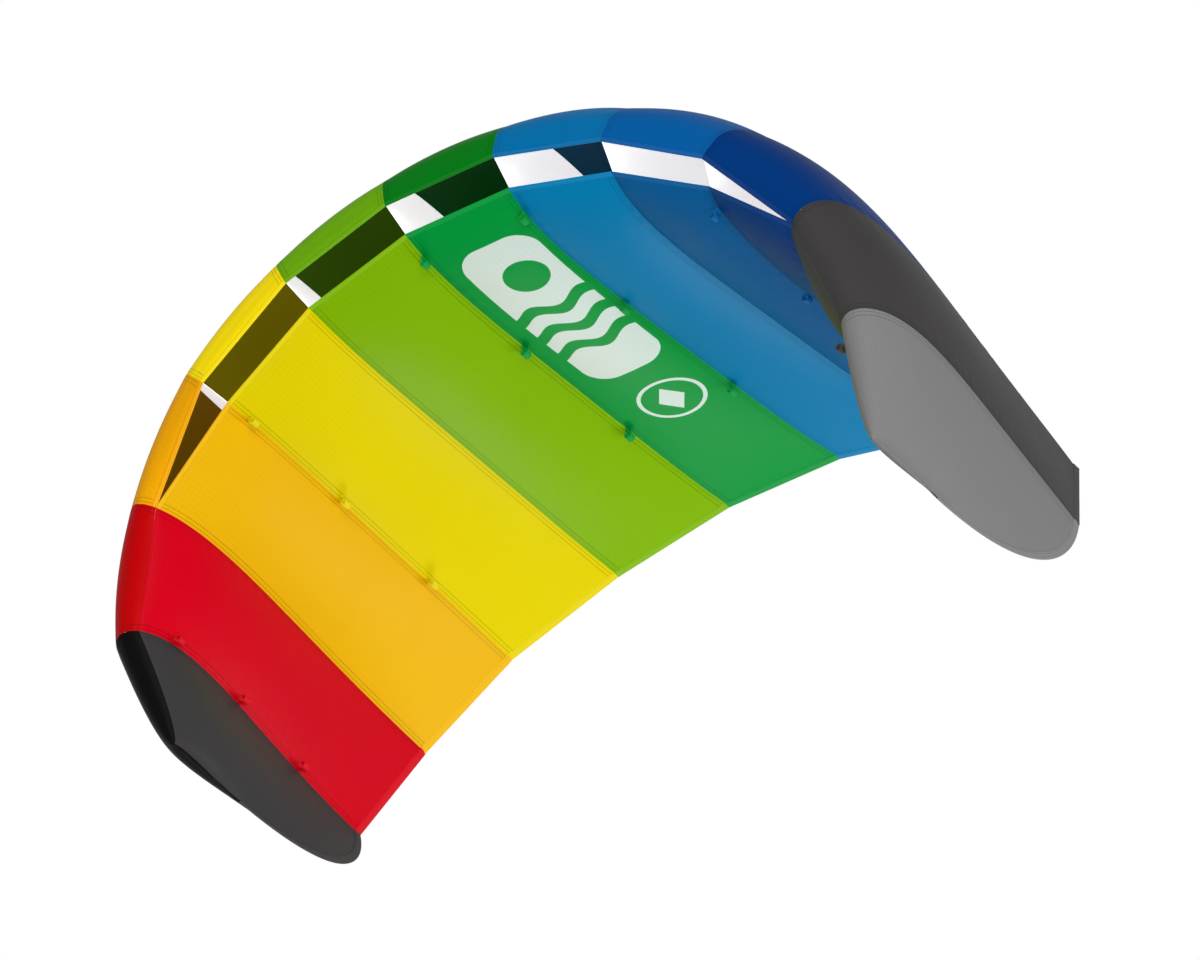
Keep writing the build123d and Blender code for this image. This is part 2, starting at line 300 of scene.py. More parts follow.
def make_stitch_group():
    """Two rows of lockstitch beside a seam, on the UV map "seam": distance along, and from it.

    Thread marks the stitches, and Fold the double cloth between the seam and the second row.
    """
    group = bpy.data.node_groups.new("seam_stitches", "ShaderNodeTree")
    for name in ("Thread", "Fold"):
        socket(group, name, "OUTPUT")
    socket(group, "First Row", "INPUT", 0.0025)
    socket(group, "Second Row", "INPUT", 0.0060)
    socket(group, "Stitch", "INPUT", 0.0030)
    inputs, outputs = group.nodes.new("NodeGroupInput"), group.nodes.new("NodeGroupOutput")
    u, v, uv = uv_axes(group, "seam")
    saw = math_node(group, "PINGPONG", math_node(group, "DIVIDE", u, inputs.outputs["Stitch"]), 0.5)
    dash = math_node(group, "GREATER_THAN", saw, stitch_gap_share)
    rows = math_node(group, "MAXIMUM",
                     band(group, v, inputs.outputs["First Row"], thread_half_width),
                     band(group, v, inputs.outputs["Second Row"], thread_half_width))
    group.links.new(math_node(group, "MULTIPLY", rows, dash), outputs.inputs["Thread"])
    fold = math_node(group, "LESS_THAN", v, math_node(group, "ADD", inputs.outputs["Second Row"], 0.0015))
    group.links.new(fold, outputs.inputs["Fold"])
    return group


ripstop_group = make_ripstop_group()
stitch_group = make_stitch_group()


def linear(rgb, share=1.0):
    """Linear colour of a share of an 8-bit sRGB triple."""
    c = np.array(rgb) * share / 255
    return tuple(np.where(c <= 0.04045, c / 12.92, ((c + 0.055) / 1.055) ** 2.4)) + (1.0,)


def mix_colour(tree, factor, base, other, blend_type="MIX"):
    """A colour mix whose factor and colours are sockets or plain values; returns its output."""
    node = tree.nodes.new("ShaderNodeMix")
    node.data_type = "RGBA"
    node.blend_type = blend_type
    for place, value in ((0, factor), (6, base), (7, other)):
        if isinstance(value, bpy.types.NodeSocket):
            tree.links.new(value, node.inputs[place])
        else:
            node.inputs[place].default_value = value
    return node.outputs[2]


def ripstop_material(name, rgb, painted_glow=0.0, creases=1.0, stitches=0.0, decorate=None):
    """Coated ripstop: weave in colour and bump, a satin gloss, and a painted glow.

    The glow is painted light: emission in the cloth's own colour, at the strength given, standing in for
    daylight soaking through.
    """
    material = bpy.data.materials.new(name)
    material.use_nodes = True
    tree = material.node_tree
    shader = tree.nodes["Principled BSDF"]
    shader.inputs["IOR"].default_value = cloth_ior
    # Painted light: a glow in the cloth's own colour, at the strength given.
    shader.inputs["Emission Color"].default_value = linear(rgb)
    shader.inputs["Emission Strength"].default_value = painted_glow
    weave = tree.nodes.new("ShaderNodeGroup")
    weave.node_tree = ripstop_group
    weave.inputs["Creases"].default_value = creases
    colour = linear(rgb)
    if decorate:
        colour = decorate(tree, colour)
    height = weave.outputs["Height"]
    if stitches:
        seam = tree.nodes.new("ShaderNodeGroup")
        seam.node_tree = stitch_group
        thread = math_node(tree, "MULTIPLY", seam.outputs["Thread"], stitches)
        colour = mix_colour(tree, thread, colour, linear(rgb, 0.45))
        height = math_node(tree, "ADD", height, math_node(tree, "MULTIPLY", seam.outputs["Thread"], 1.5))
        height = math_node(tree, "ADD", height, math_node(tree, "MULTIPLY", seam.outputs["Fold"], 1.2))
    colour = mix_colour(tree, 1.0, colour, weave.outputs["Shade"], "MULTIPLY")
    tree.links.new(colour, shader.inputs["Base Color"])
    tree.links.new(weave.outputs["Gloss"], shader.inputs["Roughness"])
    bump = tree.nodes.new("ShaderNodeBump")
    bump.inputs["Distance"].default_value = cloth_relief
    bump.inputs["Strength"].default_value = cloth_relief_strength
    tree.links.new(height, bump.inputs["Height"])
    tree.links.new(bump.outputs["Normal"], shader.inputs["Normal"])
    return material


tape_stitch_pitch, tape_thread_half_width = 0.0028, 0.0003
tape_roughness, tape_ior, tape_relief, tape_relief_strength = 0.62, 1.25, 0.0002, 0.6
section_angles = (0, 25, 65, 90, 115, 155, 180, 205, 245, 270, 295, 335)
section_squareness, end_ring = 0.45, 0.02


def make_tape_group():
    """Narrow woven tape on the UV map "cloth": along, and across from its middle.

    Ribs of the weave run slantwise to either side of the middle, and a row of
    stitches runs near each edge.
    """
    group = bpy.data.node_groups.new("tape_weave", "ShaderNodeTree")
    for name in ("Shade", "Height"):
        socket(group, name, "OUTPUT")
    socket(group, "Stitch Row", "INPUT", 0.0016)
    socket(group, "Rib", "INPUT", 0.0009)
    inputs, outputs = group.nodes.new("NodeGroupInput"), group.nodes.new("NodeGroupOutput")
    u, v, uv = uv_axes(group, "cloth")
    across = math_node(group, "ABSOLUTE", v)
    slant = math_node(group, "DIVIDE", math_node(group, "ADD", u, across), inputs.outputs["Rib"])
    rib = math_node(group, "PINGPONG", slant, 0.5)
    stitch_saw = math_node(group, "PINGPONG", math_node(group, "DIVIDE", u, tape_stitch_pitch), 0.5)
    dash = math_node(group, "GREATER_THAN", stitch_saw, stitch_gap_share)
    row = band(group, across, inputs.outputs["Stitch Row"], tape_thread_half_width)
    thread = math_node(group, "MULTIPLY", row, dash)
    shade = math_node(group, "ADD", math_node(group, "MULTIPLY", rib, 0.24), 0.84)
    shade = math_node(group, "SUBTRACT", shade, math_node(group, "MULTIPLY", thread, 0.22))
    height = math_node(group, "ADD", math_node(group, "MULTIPLY", rib, 0.6), thread)
    group.links.new(shade, outputs.inputs["Shade"])
    group.links.new(height, outputs.inputs["Height"])
    return group


tape_group = make_tape_group()


def tape_material(name, rgb, painted_glow=0.0):
    material = bpy.data.materials.new(name)
    material.use_nodes = True
    tree = material.node_tree
    shader = tree.nodes["Principled BSDF"]
    shader.inputs["Roughness"].default_value = tape_roughness
    shader.inputs["IOR"].default_value = tape_ior
    # Painted light: a glow in the tape's own colour, at the strength given.
    shader.inputs["Emission Color"].default_value = linear(rgb)
    shader.inputs["Emission Strength"].default_value = painted_glow
    weave = tree.nodes.new("ShaderNodeGroup")
    weave.node_tree = tape_group
    colour = mix_colour(tree, 1.0, linear(rgb), weave.outputs["Shade"], "MULTIPLY")
    tree.links.new(colour, shader.inputs["Base Color"])
    bump = tree.nodes.new("ShaderNodeBump")
    bump.inputs["Distance"].default_value = tape_relief
    bump.inputs["Strength"].default_value = tape_relief_strength
    tree.links.new(weave.outputs["Height"], bump.inputs["Height"])
    tree.links.new(bump.outputs["Normal"], shader.inputs["Normal"])
    return material


def unit(vectors):
    return vectors / np.maximum(np.linalg.norm(vectors, axis=-1, keepdims=True), 1e-12)


def tape_part(path, across, up, half_width, half_thickness):
    """A flat tape: a rounded rectangle carried along a path, with closed ends.

    The section is a superellipse; across and up are its directions at each point, and
    half_width is one number, or one for each point of a tape that tapers. A ring just
    inside each end keeps the shading of the ends off the tape's faces.
    """
    count = len(path)
    place = np.r_[0, end_ring, 1:count - 1, count - 1 - end_ring, count - 1]
    low = np.minimum(place.astype(int), count - 2)
    share = place - low
    half_width = np.broadcast_to(half_width, count)
    half_width = half_width[low] * (1 - share) + half_width[low + 1] * share
    path, across, up = (
        values[low] * (1 - share)[:, None] + values[low + 1] * share[:, None]
        for values in (path, across, up)
    )
    angle = np.radians(section_angles)
    rounded = np.sign(np.cos(angle)) * np.abs(np.cos(angle)) ** section_squareness
    wide = np.outer(half_width, rounded)
    thick = half_thickness * np.sign(np.sin(angle)) * np.abs(np.sin(angle)) ** section_squareness
    points = path[:, None] + wide[:, :, None] * across[:, None] + thick[None, :, None] * up[:, None]
    index = np.arange(points.shape[0] * points.shape[1]).reshape(points.shape[:2])
    following = np.roll(index, -1, axis=1)
    quads = np.stack([index[:-1], following[:-1], following[1:], index[1:]], axis=2).reshape(-1, 4)
    faces = quads.tolist() + [index[0, ::-1].tolist(), index[-1].tolist()]
    along = np.concatenate([[0], np.cumsum(np.linalg.norm(np.diff(path, axis=0), axis=1))])
    uv = np.stack(np.broadcast_arrays(along[:, None], wide), axis=2)
    handed = np.cross(across[0], up[0]) @ (path[1] - path[0])
    if handed < 0:
        faces = [face[::-1] for face in faces]
    return points.reshape(-1, 3), faces, uv.reshape(-1, 2)


def tape_mesh(name, parts):
    """One mesh from several tapes."""
    points, faces, uvs, start = [], [], [], 0
    for part_points, part_faces, part_uv in parts:
        points.append(part_points)
        uvs.append(part_uv)
        faces += [[corner + start for corner in face] for face in part_faces]
        start += len(part_points)
    mesh = bpy.data.meshes.new(name)
    mesh.from_pydata(np.concatenate(points).tolist(), [], faces)
    corners = np.empty(len(mesh.loops), np.int32)
    mesh.loops.foreach_get("vertex_index", corners)
    layer = mesh.uv_layers.new(name="cloth")
    layer.data.foreach_set("uv", np.concatenate(uvs)[corners].astype(np.float32).reshape(-1))
    mesh.polygons.foreach_set("use_smooth", np.array([len(face) == 4 for face in faces]))
    mesh.update()
    return mesh


def rib_mesh(seam, node_name):
    """The rib with its vents, from the frame, drawn in so that it ends just inside the skins.

    Its height is held between the two profiles of the seam, less a small inset, so the
    tabs that carry the bridle loops don't stand out, and its length shrinks a little.
    """
    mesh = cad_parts[node_name].data.copy()
    mesh.materials.clear()
    form = bmesh.new()
    form.from_mesh(mesh)
    bmesh.ops.remove_doubles(form, verts=form.verts, dist=1e-6)
    bmesh.ops.recalc_face_normals(form, faces=form.faces)
    form.to_mesh(mesh)
    form.free()
    points = np.empty(len(mesh.vertices) * 3, np.float32)
    mesh.vertices.foreach_get("co", points)
    points = points.reshape(-1, 3).astype(float) - seam_point[seam]
    uv = np.stack([points[:, 1], points @ outward(seam_tilt[seam])], axis=1)
    chord = seam_chord[seam]
    front = inlet_back_share if is_open(seam) else nose_meet_share
    fullness = lower_open_fullness if is_open(seam) else lower_closed_fullness
    t = np.clip(uv[:, 0] / chord, 0, 1)
    if is_open(seam):
        lip = lip_drop_share + (fullness_height(front, fullness) - lip_drop_share) * t / front
    else:
        lip = lip_drop_share * np.sqrt(t / front)
    below = np.where(t < front, lip, fullness_height(t, fullness)) * chord
    above = fullness_height(t, upper_fullness) * chord
    lowest = np.minimum(rib_inset_height - below, 0)
    highest = np.maximum(above - rib_inset_height, 0)
    height = np.clip(uv[:, 1], lowest, highest)
    points[:, 1] = chord / 2 + (points[:, 1] - chord / 2) * (1 - rib_inset_aft)
    points = points + np.outer(height - uv[:, 1], outward(seam_tilt[seam])) + seam_point[seam]
    mesh.vertices.foreach_set("co", points.astype(np.float32).reshape(-1))
    corners = np.empty(len(mesh.loops), np.int32)
    mesh.loops.foreach_get("vertex_index", corners)
    layer = mesh.uv_layers.new(name="cloth")
    layer.data.foreach_set("uv", uv[corners].astype(np.float32).reshape(-1))
    mesh.polygons.foreach_set("use_smooth", np.zeros(len(mesh.polygons), bool))
    return mesh


vent_tape_width, vent_tape_thickness, vent_tape_offset, vent_tape_lap = 0.0040, 0.0012, 0.0016, 0.2


def vent_tapes(seam):
    """A ring of tape round each vent: a circle on the rib's plane, its two ends overlapping."""
    fullness = lower_open_fullness if is_open(seam) else lower_closed_fullness
    turn = np.linspace(0, 2 * math.pi + vent_tape_lap, 57)
    up = np.tile(spanwise(seam_tilt[seam]), (len(turn), 1))
    parts = []
    for place in vent_places:
        top = fullness_height(place, upper_fullness) * seam_chord[seam]
        bottom = -fullness_height(place, fullness) * seam_chord[seam]
        radius = (top - bottom) / 2 - vent_rim
        centre = seam_point[seam] + outward(seam_tilt[seam]) * (top + bottom) / 2
        centre[1] += place * seam_chord[seam]
        across = np.outer(np.cos(turn), [0.0, 1.0, 0.0]) + np.outer(np.sin(turn), outward(seam_tilt[seam]))
        path = centre + across * (radius + vent_tape_offset)
        parts.append(tape_part(path, across, up, vent_tape_width / 2, vent_tape_thickness / 2))
    return parts


# The ribs and vent tapes carry painted light: a glow in their own white that keeps them bright inside the
# shaded cells.
rib_painted_glow, vent_tape_painted_glow = 0.72, 0.7
rib_cloth = ripstop_material("white_ripstop", white_cloth, painted_glow=rib_painted_glow)
vent_tape = tape_material("white_vent_tape", white_cloth, painted_glow=vent_tape_painted_glow)
for side, word in ((-1, "left"), (1, "right")):
    for number in range(1, last_seam + 1):
        seam = side * number
        rib_name = f"rib_{word}_{number}"
        rib = add_piece(f"{rib_name}_cloth", rib_mesh(seam, rib_name), [rib_cloth])
        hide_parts(rib_name)
        seam_blend(rib, seam)
        rings = add_piece(f"{rib_name}_vent_tapes", tape_mesh(rib_name, vent_tapes(seam)), [vent_tape])
        seam_blend(rings, seam)

# ---------------------------------------------------------------------------
# Skins. Each cell between two ribs has an upper and a lower panel of ripstop,
# ballooned by the air inside. A panel is made as two halves that meet at the
# middle of the cell, one half at each of the cell's seams.
# ---------------------------------------------------------------------------
upper_billow, lower_billow = 0.009, 0.008
cloth_thickness = 0.0005
chord_steps, span_steps = 96, 20
pucker_height, pucker_reach, pucker_pitch = 0.00035, 0.012, 0.017
# The inside share darkens the cloth as painted shade within the cells, and the inside glow is painted
# light.
inside_shade_share, inside_painted_glow, stitch_contrast = 0.36, 0.5, 0.55
# Each cell is sewn from one cloth; its upper and lower values are that cloth's colour as each side looks
# under its light, so the difference between them is painted light and shade. The left tip's black cloth is
# painted dark grey underneath.
upper_colours = {
    "left_tip": (16, 15, 16), "red": (192, 3, 8), "orange": (242, 168, 4), "yellow": (252, 226, 8),
    "lime": (107, 170, 8), "green": (1, 121, 20), "light_blue": (0, 109, 168), "mid_blue": (2, 89, 158),
    "dark_blue": (0, 52, 118), "charcoal": (62, 60, 60), "right_tip": (119, 119, 119),
}
lower_colours = {
    "left_tip": (58, 56, 57), "red": (202, 2, 26), "orange": (226, 173, 4), "yellow": (215, 197, 0),
    "lime": (122, 172, 2), "green": (0, 146, 58), "light_blue": (0, 125, 178), "mid_blue": (0, 92, 152),
    "dark_blue": (0, 58, 122), "charcoal": (66, 65, 65), "right_tip": (119, 119, 119),
}
print_pale, print_cover, print_offset = (214, 228, 220), 0.93, 0.006
panel_middle, panel_half_length, panel_half_width, panel_corner = 0.164, 0.120, 0.041, 0.026
sun_place, sun_offset, sun_radius = 0.098, 0.012, 0.022
wave_places, wave_turns, wave_swing, wave_half_width = (0.152, 0.186, 0.220), 120.0, 0.006, 0.0075
badge_place, badge_radius, badge_inner_radius = 0.347, 0.033, 0.029
diamond_half_length, diamond_slimness = 0.021, 1.5


def upper_profile(seam, w):
    """Aft and outward shares of the chord, from the nose lip (w = 0) to the tail (w = 1).

    The height formula is odd in the root of t, so carrying the root below zero rounds
    the nose; an open nose is held straight there and a closed one follows the curve.
    """
    root = lip_root + (1 - lip_root) * w
    out = np.sign(root) * fullness_height(root**2, upper_fullness)
    below = np.clip(root / lip_root, 0, 1)
    if is_open(seam):
        nose = -nose_front_share * np.sin(math.pi * below) ** 2
    else:
        nose = nose_meet_share * below**2
    return np.where(root > 0, root**2, nose), out


lip_root = -lip_drop_share / upper_fullness[0] * 1.02


def lower_front(seam):
    return inlet_back_share if is_open(seam) else nose_meet_share


def lower_profile(seam, w):
    """Aft and outward shares of the chord, from the front edge (w = 0) to the tail (w = 1)."""
    front = lower_front(seam)
    fullness = lower_open_fullness if is_open(seam) else lower_closed_fullness
    t = front + (1 - front) * w**1.5
    out = -fullness_height(t, fullness)
    if not is_open(seam):
        out = out - (lip_drop_share + out[0]) * (1 - w) ** 8
    return t, out


def profile_points(seam, profile, w):
    """Points of a profile on its seam's plane."""
    t, out = profile(seam, w)
    aft = np.outer(t * seam_chord[seam], [0.0, 1.0, 0.0])
    return seam_point[seam] + aft + np.outer(out * seam_chord[seam], outward(seam_tilt[seam]))


def cell_surface(cell, profile, w, v):
    """Cloth between two seams: a straight blend of their profiles, ballooned outwards.

    The ballooning is a power of a sine along the chord, times a parabola along the span.
    """
    near, far = cell_seams(cell)
    a, b = profile_points(near, profile, w), profile_points(far, profile, w)
    grid = a[:, None, :] * (1 - v)[None, :, None] + b[:, None, :] * v[None, :, None]
    rise = upper_billow if profile is upper_profile else -lower_billow
    billow = np.outer(np.sin(math.pi * w) ** 0.75, 4 * v * (1 - v))
    return grid + rise * billow[:, :, None] * outward(cell_slope(cell))


def surface_normals(grid):
    """Unit normals of a grid of points: the cross product of its two directions."""
    return unit(np.cross(np.gradient(grid, axis=1), np.gradient(grid, axis=0)))


def arc_lengths(grid, axis):
    """Distance along the rows or columns of a grid from its first line."""
    steps = np.linalg.norm(np.diff(grid, axis=axis), axis=2)
    total = np.cumsum(steps, axis=axis)
    start = np.zeros_like(np.take(total, [0], axis=axis))
    return np.concatenate([start, total], axis=axis)


def pucker(grid, normals, seam_distance, chordwise):
    """Small gathers beside a seam: a wave along it that dies away with the distance from it."""
    wave = np.sin(2 * math.pi * chordwise / pucker_pitch + 1.7 * np.sin(chordwise * 31))
    fade = np.exp(-seam_distance / pucker_reach) * np.minimum(seam_distance / 0.003, 1)
    return grid + normals * (pucker_height * wave * fade)[:, :, None]


def shell_mesh(name, outer, normals, thickness, maps):
    """Closed thin shell: a grid, its copy pushed in by the thickness, and the rim between.

    Outside faces take material 0, and the inside and the rim take material 1. The
    grid's own normals are kept, so that two halves of a panel shade as one.
    """
    rows, columns = outer.shape[:2]
    inner = outer - normals * thickness
    points = np.concatenate([outer.reshape(-1, 3), inner.reshape(-1, 3)])
    index = np.arange(rows * columns).reshape(rows, columns)
    a, b, c, d = index[:-1, :-1], index[1:, :-1], index[1:, 1:], index[:-1, 1:]
    outside = np.stack([a, d, c, b], axis=2).reshape(-1, 4)
    inside = np.stack([a, b, c, d], axis=2).reshape(-1, 4) + rows * columns
    edge = np.concatenate([index[0, :], index[1:, -1], index[-1, -2::-1], index[-2:0:-1, 0]])
    following = np.roll(edge, -1)
    rim = np.stack([edge, edge + rows * columns, following + rows * columns, following], axis=1)
    faces = np.concatenate([outside, inside, rim])
    mesh = bpy.data.meshes.new(name)
    mesh.from_pydata(points.tolist(), [], faces.tolist())
    for layer_name, uv in maps.items():
        layer = mesh.uv_layers.new(name=layer_name)
        both = np.concatenate([uv.reshape(-1, 2), uv.reshape(-1, 2)])
        layer.data.foreach_set("uv", both[faces.reshape(-1)].astype(np.float32).reshape(-1))
    material = np.zeros(len(faces), np.int32)
    material[len(outside):] = 1
    mesh.polygons.foreach_set("material_index", material)
    diagonals = points[rim[:, 2]] - points[rim[:, 0]], points[rim[:, 3]] - points[rim[:, 1]]
    rim_normals = unit(np.cross(*diagonals))
    flat = normals.reshape(-1, 3)
    corner_normals = np.concatenate([
        flat[outside.reshape(-1)],
        -flat[inside.reshape(-1) - rows * columns],
        np.repeat(rim_normals, 4, axis=0),
    ])
    mesh.polygons.foreach_set("use_smooth", np.ones(len(faces), bool))
    mesh.normals_split_custom_set(corner_normals.tolist())
    mesh.update()
    return mesh


def declare_skin(piece, node_name, seam):
    """Hides the frame's part of that name and bakes the piece's placement."""
    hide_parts(node_name)
    seam_blend(piece, seam)


def sail_print(tree, cloth_colour):
    """The screen print on the centre cell: a pale rounded panel with a sun over three
    waves, and a round badge with a diamond kite behind it."""
    u, v, uv = uv_axes(tree, "cloth")

    def rounded_box(middle, half_length, half_width, corner):
        du = math_node(tree, "ABSOLUTE", math_node(tree, "SUBTRACT", u, middle))
        dv = math_node(tree, "ABSOLUTE", math_node(tree, "SUBTRACT", v, print_offset))
        du = math_node(tree, "MAXIMUM", math_node(tree, "SUBTRACT", du, half_length - corner), 0.0)
        dv = math_node(tree, "MAXIMUM", math_node(tree, "SUBTRACT", dv, half_width - corner), 0.0)
        away = math_node(tree, "SQRT", math_node(
            tree, "ADD", math_node(tree, "MULTIPLY", du, du), math_node(tree, "MULTIPLY", dv, dv)))
        return math_node(tree, "LESS_THAN", away, corner)

    def disc(cu, cv, radius):
        du, dv = math_node(tree, "SUBTRACT", u, cu), math_node(tree, "SUBTRACT", v, cv)
        du, dv = math_node(tree, "MULTIPLY", du, du), math_node(tree, "MULTIPLY", dv, dv)
        return math_node(tree, "LESS_THAN", math_node(tree, "ADD", du, dv), radius**2)

    def without(mask, hole):
        return math_node(tree, "MULTIPLY", mask, math_node(tree, "SUBTRACT", 1.0, hole))

    pale = rounded_box(panel_middle, panel_half_length, panel_half_width, panel_corner)
    pale = without(pale, disc(sun_place, sun_offset, sun_radius))
    swell = math_node(tree, "SINE", math_node(tree, "MULTIPLY", v, wave_turns))
    crest = math_node(tree, "SUBTRACT", u, math_node(tree, "MULTIPLY", swell, wave_swing))
    for place in wave_places:
        pale = without(pale, band(tree, crest, place, wave_half_width))
    badge = disc(badge_place, print_offset, badge_radius)
    badge = without(badge, disc(badge_place, print_offset, badge_inner_radius))
    run = math_node(tree, "ABSOLUTE", math_node(tree, "SUBTRACT", u, badge_place))
    beside = math_node(tree, "ABSOLUTE", math_node(tree, "SUBTRACT", v, print_offset))
    diamond = math_node(tree, "ADD", run, math_node(tree, "MULTIPLY", beside, diamond_slimness))
    diamond = math_node(tree, "LESS_THAN", diamond, diamond_half_length)
    badge = math_node(tree, "MAXIMUM", badge, diamond)
    ink = math_node(tree, "MAXIMUM", pale, badge)
    return mix_colour(tree, math_node(tree, "MULTIPLY", ink, print_cover), cloth_colour, linear(print_pale))


def build_panel(cell, name, word, profile, colours):
    """The two halves of one skin panel, each at its own seam."""
    side = 1 if cell >= 0 else -1
    facing = side if profile is upper_profile else -side
    outside_cloth = ripstop_material(
        f"{name}_{word}_ripstop", colours[name], stitches=stitch_contrast,
        decorate=sail_print if (name, word) == ("green", "lower") else None)
    w = np.linspace(0, 1, chord_steps + 1)
    v = np.linspace(0, 1, 2 * span_steps + 1)
    grid = cell_surface(cell, profile, w, v)
    span, chordwise = arc_lengths(grid, 1), arc_lengths(grid, 0)
    middle = span[:, span_steps:span_steps + 1]
    seam_distance = np.minimum(span, span[:, -1:] - span)
    grid = pucker(grid, surface_normals(grid) * facing, seam_distance, chordwise)
    normals = surface_normals(grid) * facing
    cloth = np.stack([chordwise, (span - middle) * side], axis=2)
    seam_map = np.stack([chordwise, seam_distance], axis=2)
    near, far = cell_seams(cell)
    for half, columns, seam in (("inner_half", slice(0, span_steps + 1), near),
                                ("outer_half", slice(span_steps, None), far)):
        layers = [layer[:, columns] for layer in (grid, normals, cloth, seam_map)]
        if facing < 0:
            layers = [layer[:, ::-1] for layer in layers]
        half_grid, half_normals, half_cloth, half_seam = layers
        mesh = shell_mesh(f"{name}_{word}_{half}", half_grid, half_normals, cloth_thickness,
                          {"cloth": half_cloth, "seam": half_seam})
        piece = add_piece(f"{name}_{word}_skin_{half}", mesh, [outside_cloth, inside_cloth[name]])
        declare_skin(piece, f"{name}_{word}_skin", seam)


# The inside of each panel is painted shade and painted light: the upper cloth colour darkened for the shade
# within the cells, with an even painted glow in that darker colour.
inside_cloth = {}
for index, name in enumerate(cell_names):
    painted_inside_shade = tuple(inside_shade_share * c for c in upper_colours[name])
    inside_cloth[name] = ripstop_material(f"{name}_inside", painted_inside_shade, painted_glow=inside_painted_glow)
    if abs(index - last_seam) < last_seam:
        build_panel(index - last_seam, name, "upper", upper_profile, upper_colours)
        build_panel(index - last_seam, name, "lower", lower_profile, lower_colours)

# ---------------------------------------------------------------------------
# Tips. The outermost cell on each side is a closed cushion with a rounded
# outline, black on the left and grey on the right, and a narrow strip of the
# same cloth closes its outer side.
# ---------------------------------------------------------------------------
tip_width, tip_sweep, tip_round, tip_edge_fullness = 0.104, 0.052, 0.212, 0.1
side_strip_bulge, stitch_free = 0.0012, 1.0
tip_slots = {"left_tip": "tip_black_ripstop", "right_tip": "tip_grey_ripstop"}


def tip_surface(cell, profile, w, v):
    """The last rib's profile, shortened to a straight front and a quarter of an ellipse
    behind, and flattened outwards along the root of a falling parabola."""
    side = math.copysign(1, cell)
    along = spanwise(cell_slope(cell)) * side
    t, out = profile(cell, w)
    front = tip_sweep * v
    chord = seam_chords[-1] - tip_round * (1 - np.sqrt(1 - v**2)) - front
    height = seam_chords[-1] * np.sqrt(1 - (1 - tip_edge_fullness**2) * v**2)
    root_up, edge_up = outward(seam_tilt[cell]), outward(cell_slope(cell))
    up = root_up * (1 - v)[:, None] + edge_up * v[:, None]
    grid = seam_point[cell] + (tip_width * v)[None, :, None] * along
    grid = grid + (front[None, :] + np.outer(t, chord))[:, :, None] * np.array([0.0, 1.0, 0.0])
    return grid + np.outer(out, height)[:, :, None] * up[None, :, :]


def build_tip_panel(cell, name, word, profile, colours):
    facing = (1 if cell > 0 else -1) * (1 if profile is upper_profile else -1)
    cloth_finish = ripstop_material(f"{name}_{word}_ripstop", colours[name], stitches=stitch_contrast)
    w = np.linspace(0, 1, chord_steps + 1)
    v = np.sin(np.linspace(0, math.pi / 2, 2 * span_steps + 1))
    grid = tip_surface(cell, profile, w, v)
    span, chordwise = arc_lengths(grid, 1), arc_lengths(grid, 0)
    grid = pucker(grid, surface_normals(grid) * facing, span, chordwise)
    normals = surface_normals(grid) * facing
    layers = [grid, normals, np.stack([chordwise, span], axis=2), np.stack([chordwise, span], axis=2)]
    if facing < 0:
        layers = [layer[:, ::-1] for layer in layers]
    mesh = shell_mesh(f"{name}_{word}", layers[0], layers[1], cloth_thickness,
                      {"cloth": layers[2], "seam": layers[3]})
    piece = add_piece(f"{name}_{word}_skin_panel", mesh, [cloth_finish, inside_cloth[name]])
    declare_skin(piece, f"{name}_{word}_skin", cell)
    return cloth_finish


def build_tip_side(cell, name, finish):
    """The strip between the two skins' outer edges, bulged like half a tube."""
    side = 1 if cell > 0 else -1
    w_upper = np.linspace(0, 1, chord_steps + 1)
    t = upper_profile(cell, w_upper)[0]
    front = lower_front(cell)
    w_lower = np.clip((t - front) / (1 - front), 0, 1) ** (2 / 3)
    edge = np.array([1.0])
    top = tip_surface(cell, upper_profile, w_upper, edge)[:, 0]
    bottom = tip_surface(cell, lower_profile, w_lower, edge)[:, 0]
    s = np.linspace(0, 1, 7)
    grid = top[:, None] * (1 - s)[None, :, None] + bottom[:, None] * s[None, :, None]
    bulge = side_strip_bulge * np.sin(math.pi * s)
    grid = grid + bulge[None, :, None] * spanwise(cell_slope(cell)) * side
    normals = surface_normals(grid)
    facing = np.sign(np.mean(normals @ spanwise(cell_slope(cell))) * side)
    cloth = np.stack([arc_lengths(grid, 0), arc_lengths(grid, 1)], axis=2)
    layers = [grid, normals * facing, cloth]
    if facing < 0:
        layers = [layer[:, ::-1] for layer in layers]
    mesh = shell_mesh(f"{name}_side", layers[0], layers[1], cloth_thickness,
                      {"cloth": layers[2], "seam": layers[2] + stitch_free})
    piece = add_piece(f"{name}_side_strip", mesh, [finish, inside_cloth[name]])
    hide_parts(f"{name}_side_seam")
    seam_blend(piece, cell)


for cell, name in ((-last_seam, "left_tip"), (last_seam, "right_tip")):
    side_finish = build_tip_panel(cell, name, "upper", upper_profile, upper_colours)
    build_tip_panel(cell, name, "lower", lower_profile, lower_colours)
    build_tip_side(cell, name, side_finish)

# ---------------------------------------------------------------------------
# Inlet bindings. A folded tape in the cell's colour is sewn over both edges of
# each air inlet, the nose lip and the lower lip, so that they stay straight.
# ---------------------------------------------------------------------------
binding_width, binding_thickness, binding_overhang = 0.0050, 0.0012, 0.0006
lip_reach = {upper_profile: 0.027, lower_profile: 0.045}
# The tapes' glows are painted light, in each tape's own colour, lifting the bindings, hems and loops out of
# their shade.
edge_steps, lower_tape_painted_glow, lip_tape_painted_glow = 13, 0.22, 0.15
tape_finish, lip_finish = {}, {}
for name in cell_names:
    tape_finish[name] = tape_material(f"{name}_tape", lower_colours[name], painted_glow=lower_tape_painted_glow)
for name in cell_names:
    lip_finish[name] = tape_material(f"{name}_lip_tape", upper_colours[name], painted_glow=lip_tape_painted_glow)


